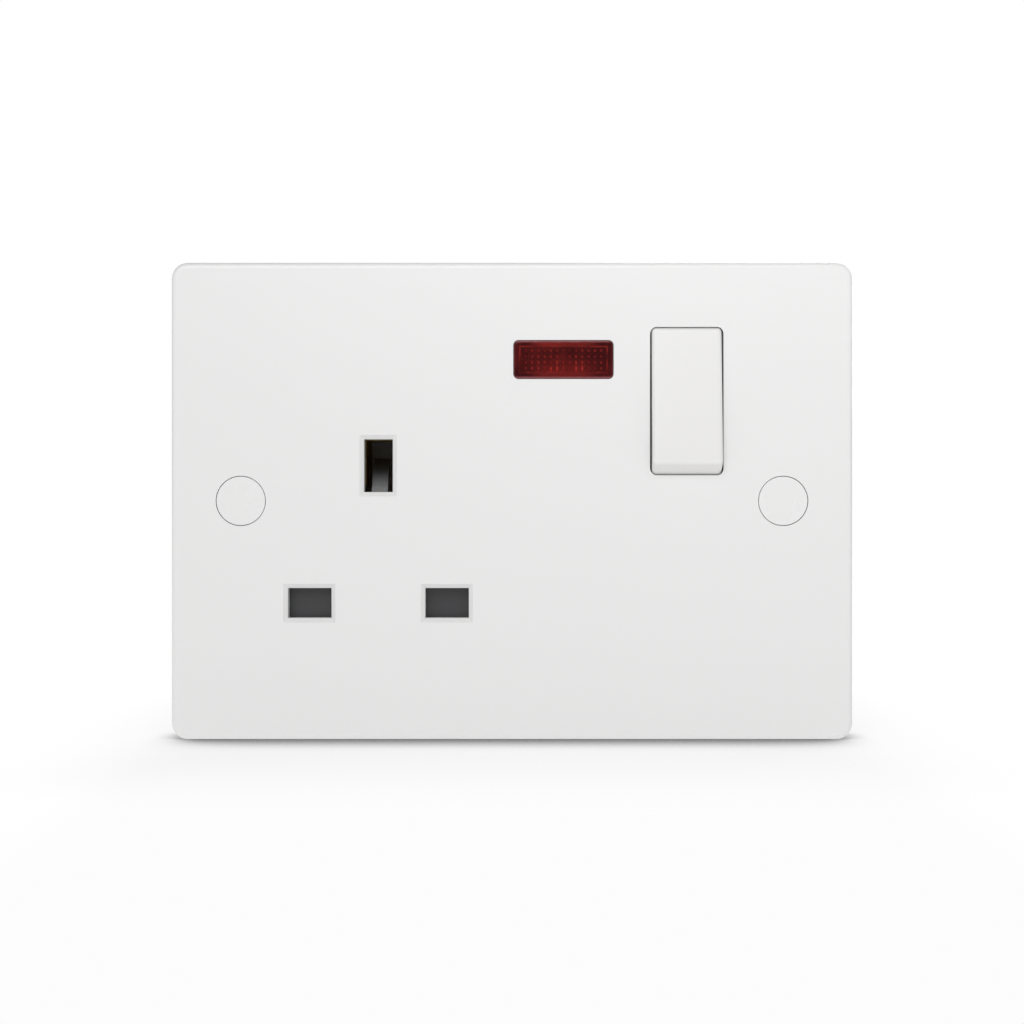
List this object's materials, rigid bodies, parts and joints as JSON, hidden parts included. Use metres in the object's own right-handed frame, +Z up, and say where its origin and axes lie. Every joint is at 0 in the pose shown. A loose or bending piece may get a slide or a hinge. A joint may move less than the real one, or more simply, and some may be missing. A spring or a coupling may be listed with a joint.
{
  "type": "switched socket",
  "caption": "White wall socket for flat pins with a rocker switch, a red neon window, a shuttered rear moulding and rear screw terminals.",
  "frame": {"origin": "middle of the plate's rear rim, on the wall plane", "axes": "+X right and +Z up as seen on the wall, +Y into the wall"},
  "size_m": [0.11, 0.0343, 0.077],
  "materials": {
    "plate_white": "smooth gloss",
    "rocker_white": "smooth gloss",
    "cap_white": "smooth gloss",
    "moulding_white": "satin",
    "shutter_grey": "satin",
    "lens_red": "clear red",
    "lamp_glass": "clear",
    "resistor_coat": "lacquer",
    "lead_sleeve": "soft sleeve",
    "brass": "rolled",
    "contact_silver": "bright",
    "plated_steel": "zinc",
    "spring_steel": "drawn",
    "plunger_nylon": "satin",
    "washer_fibre": "fibre"
  },
  "bodies": {
    "housing": {"front_plate": "plate_white", "left_fixing_screw": "plated_steel", "right_fixing_screw": "plated_steel", "left_retaining_washer": "washer_fibre", "right_retaining_washer": "washer_fibre", "fixed_contact": "contact_silver", "load_strap": "brass", "supply_strap": "brass", "neutral_strap": "brass", "line_receptacle": "brass", "neutral_receptacle": "brass", "earth_receptacle": "brass", "line_rivet": "brass", "line_terminal": "brass", "neutral_terminal": "brass", "earth_terminal": "brass", "line_terminal_screw": "plated_steel", "neutral_terminal_screw": "plated_steel", "earth_terminal_screw": "plated_steel", "shutter_spring": "spring_steel", "neon_lens": "lens_red", "neon_lamp": "lamp_glass", "neon_resistor": "resistor_coat", "lamp_load_lead": "lead_sleeve", "lamp_resistor_lead": "lead_sleeve", "neutral_lead": "lead_sleeve", "rear_moulding": "moulding_white", "assembly_screws": "plated_steel"},
    "rocker_body": {"rocker": "rocker_white", "rocker_spring": "spring_steel"},
    "plunger_body": {"rocker_plunger": "plunger_nylon"},
    "contact_body": {"moving_contact": "brass", "moving_contact_tip": "contact_silver"},
    "shutter_body": {"shutter": "shutter_grey"},
    "left_cap_body": {"left_screw_cap": "cap_white"},
    "right_cap_body": {"right_screw_cap": "cap_white"}
  },
  "joints": [
    {"name": "rocker_tilt", "type": "hinge", "parent": "housing", "child": "rocker_body", "pos_m": [0.0282, -0.003, 0.0161], "axis": [1, 0, 0], "range_deg": [0, 12]},
    {"name": "plunger_slide", "type": "slide", "parent": "rocker_body", "child": "plunger_body", "axis": [0, -0.9945, 0.1045], "range_m": [0, 0.0008], "stiffness_N_per_m": 600, "springref_m": -0.001, "deforming": ["rocker_spring"]},
    {"name": "contact_tilt", "type": "hinge", "parent": "housing", "child": "contact_body", "pos_m": [0.0282, 0.00665, 0.0161], "axis": [1, 0, 0], "range_deg": [-14, 0]},
    {"name": "shutter_slide", "type": "slide", "parent": "housing", "child": "shutter_body", "axis": [0, 0, -1], "range_m": [0, 0.0054], "stiffness_N_per_m": 150, "springref_m": -0.003, "deforming": ["shutter_spring"]},
    {"name": "left_cap_pull", "type": "slide", "parent": "housing", "child": "left_cap_body", "axis": [0, -1, 0], "range_m": [0, 0.006]},
    {"name": "right_cap_pull", "type": "slide", "parent": "housing", "child": "right_cap_body", "axis": [0, -1, 0], "range_m": [0, 0.006]}
  ],
  "couplings": [
    {"joint": "contact_tilt", "follows": "rocker_tilt", "ratio": -1.1667}
  ]
}
